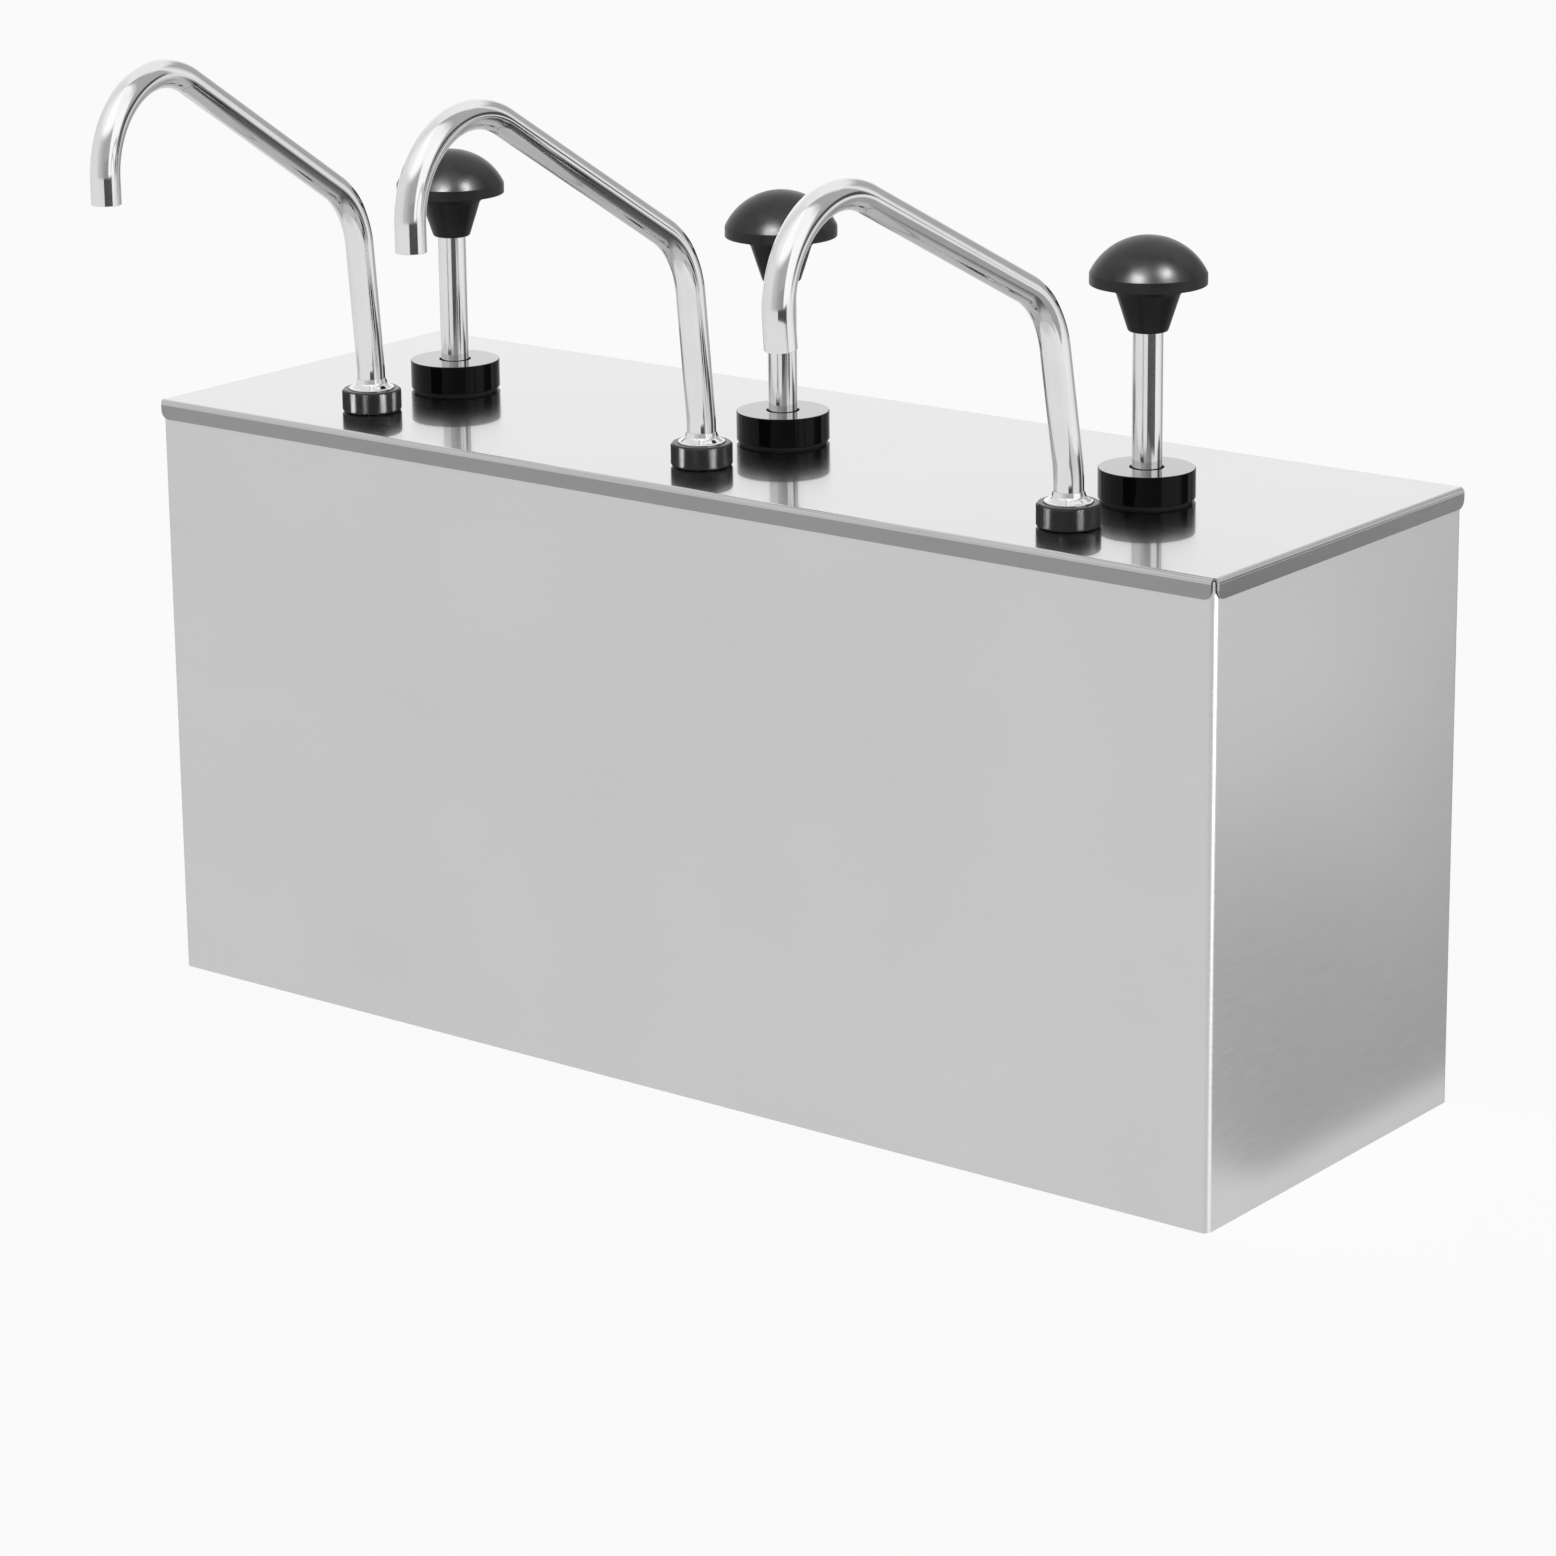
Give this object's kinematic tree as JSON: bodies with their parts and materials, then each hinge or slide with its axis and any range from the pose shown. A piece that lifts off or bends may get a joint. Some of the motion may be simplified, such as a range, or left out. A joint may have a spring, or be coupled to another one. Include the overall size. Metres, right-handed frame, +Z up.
{
  "type": "sauce pump dispenser",
  "caption": "Long counter-top box of sauce tubs under a lift-off lid that carries press-down plunger pumps with gooseneck spouts.",
  "frame": {"origin": "middle of the flat underside of the box", "axes": "+X along the long front, from the left pump to the right pump; -Y towards the spout side; +Z up"},
  "size_m": [0.5426, 0.3326, 0.4267],
  "materials": {
    "satin_steel": "satin",
    "tub_steel": "satin",
    "tube_steel": "fine brushed",
    "stud_steel": "turned",
    "spring_wire": "drawn wire",
    "polished_steel": "polished",
    "ball_steel": "polished",
    "knob_plastic": "satin moulded",
    "collar_plastic": "gloss",
    "nut_black": "gloss, diamond knurl",
    "head_plastic": "moulded",
    "white_plastic": "machined",
    "washer_rubber": "matt",
    "seal_rubber": "matt"
  },
  "bodies": {
    "casing": {"casing_shell": "satin_steel", "base_tray": "satin_steel", "left_sauce_tub": "tub_steel", "middle_sauce_tub": "tub_steel", "right_sauce_tub": "tub_steel"},
    "lid": {"lid_panel": "satin_steel", "left_pump_collar": "collar_plastic", "left_barrel_head": "head_plastic", "left_barrel_tube": "tube_steel", "left_riser_tube": "tube_steel", "middle_pump_collar": "collar_plastic", "middle_barrel_head": "head_plastic", "middle_barrel_tube": "tube_steel", "middle_riser_tube": "tube_steel", "right_pump_collar": "collar_plastic", "right_barrel_head": "head_plastic", "right_barrel_tube": "tube_steel", "right_riser_tube": "tube_steel", "collar_washers": "washer_rubber", "rod_bushes": "white_plastic", "lid_gaskets": "seal_rubber", "valve_blocks": "white_plastic", "inlet_caps": "white_plastic", "link_tubes": "tube_steel", "outlet_elbows": "white_plastic", "spout_studs": "stud_steel", "stud_locknuts": "stud_steel", "spout_orings": "seal_rubber"},
    "left_plunger": {"left_knob": "knob_plastic", "left_plunger_rod": "polished_steel", "left_piston": "white_plastic", "left_piston_seal": "seal_rubber", "left_return_spring": "spring_wire"},
    "left_spout": {"left_spout_tube": "polished_steel", "left_spout_ferrule": "polished_steel"},
    "left_nut": {"left_knurled_nut": "nut_black"},
    "left_inlet_ball": {"left_inlet_ball": "ball_steel"},
    "left_outlet_ball": {"left_outlet_ball": "ball_steel"},
    "middle_plunger": {"middle_knob": "knob_plastic", "middle_plunger_rod": "polished_steel", "middle_piston": "white_plastic", "middle_piston_seal": "seal_rubber", "middle_return_spring": "spring_wire"},
    "middle_spout": {"middle_spout_tube": "polished_steel", "middle_spout_ferrule": "polished_steel"},
    "middle_nut": {"middle_knurled_nut": "nut_black"},
    "middle_inlet_ball": {"middle_inlet_ball": "ball_steel"},
    "middle_outlet_ball": {"middle_outlet_ball": "ball_steel"},
    "right_plunger": {"right_knob": "knob_plastic", "right_plunger_rod": "polished_steel", "right_piston": "white_plastic", "right_piston_seal": "seal_rubber", "right_return_spring": "spring_wire"},
    "right_spout": {"right_spout_tube": "polished_steel", "right_spout_ferrule": "polished_steel"},
    "right_nut": {"right_knurled_nut": "nut_black"},
    "right_inlet_ball": {"right_inlet_ball": "ball_steel"},
    "right_outlet_ball": {"right_outlet_ball": "ball_steel"}
  },
  "joints": [
    {"name": "lid_lift", "type": "slide", "parent": "casing", "child": "lid", "axis": [0, 0, 1], "range_m": [0, 0.26]},
    {"name": "left_plunger_press", "type": "slide", "parent": "lid", "child": "left_plunger", "axis": [0, 0, -1], "range_m": [0, 0.05], "stiffness_N_per_m": 300, "springref_m": -0.03, "deforming": ["left_return_spring"]},
    {"name": "left_spout_swivel", "type": "hinge", "parent": "lid", "child": "left_spout", "pos_m": [-0.18, -0.054, 0.26], "axis": [0, 0, 1], "range_deg": [-30.7, 17.3]},
    {"name": "left_nut_turn", "type": "hinge", "parent": "lid", "child": "left_nut", "pos_m": [-0.18, -0.054, 0.264], "axis": [0, 0, 1], "continuous": true},
    {"name": "left_inlet_ball_lift", "type": "slide", "parent": "lid", "child": "left_inlet_ball", "axis": [0, 0, 1], "range_m": [0, 0.0022]},
    {"name": "left_outlet_ball_lift", "type": "slide", "parent": "lid", "child": "left_outlet_ball", "axis": [0, 0, 1], "range_m": [0, 0.0022]},
    {"name": "middle_plunger_press", "type": "slide", "parent": "lid", "child": "middle_plunger", "axis": [0, 0, -1], "range_m": [0, 0.05], "stiffness_N_per_m": 300, "springref_m": -0.03, "deforming": ["middle_return_spring"]},
    {"name": "middle_spout_swivel", "type": "hinge", "parent": "lid", "child": "middle_spout", "pos_m": [0, -0.054, 0.26], "axis": [0, 0, 1], "range_deg": [-24.6, 23.4]},
    {"name": "middle_nut_turn", "type": "hinge", "parent": "lid", "child": "middle_nut", "pos_m": [0, -0.054, 0.264], "axis": [0, 0, 1], "continuous": true},
    {"name": "middle_inlet_ball_lift", "type": "slide", "parent": "lid", "child": "middle_inlet_ball", "axis": [0, 0, 1], "range_m": [0, 0.0022]},
    {"name": "middle_outlet_ball_lift", "type": "slide", "parent": "lid", "child": "middle_outlet_ball", "axis": [0, 0, 1], "range_m": [0, 0.0022]},
    {"name": "right_plunger_press", "type": "slide", "parent": "lid", "child": "right_plunger", "axis": [0, 0, -1], "range_m": [0, 0.05], "stiffness_N_per_m": 300, "springref_m": -0.03, "deforming": ["right_return_spring"]},
    {"name": "right_spout_swivel", "type": "hinge", "parent": "lid", "child": "right_spout", "pos_m": [0.18, -0.054, 0.26], "axis": [0, 0, 1], "range_deg": [-24.3, 23.7]},
    {"name": "right_nut_turn", "type": "hinge", "parent": "lid", "child": "right_nut", "pos_m": [0.18, -0.054, 0.264], "axis": [0, 0, 1], "continuous": true},
    {"name": "right_inlet_ball_lift", "type": "slide", "parent": "lid", "child": "right_inlet_ball", "axis": [0, 0, 1], "range_m": [0, 0.0022]},
    {"name": "right_outlet_ball_lift", "type": "slide", "parent": "lid", "child": "right_outlet_ball", "axis": [0, 0, 1], "range_m": [0, 0.0022]}
  ]
}
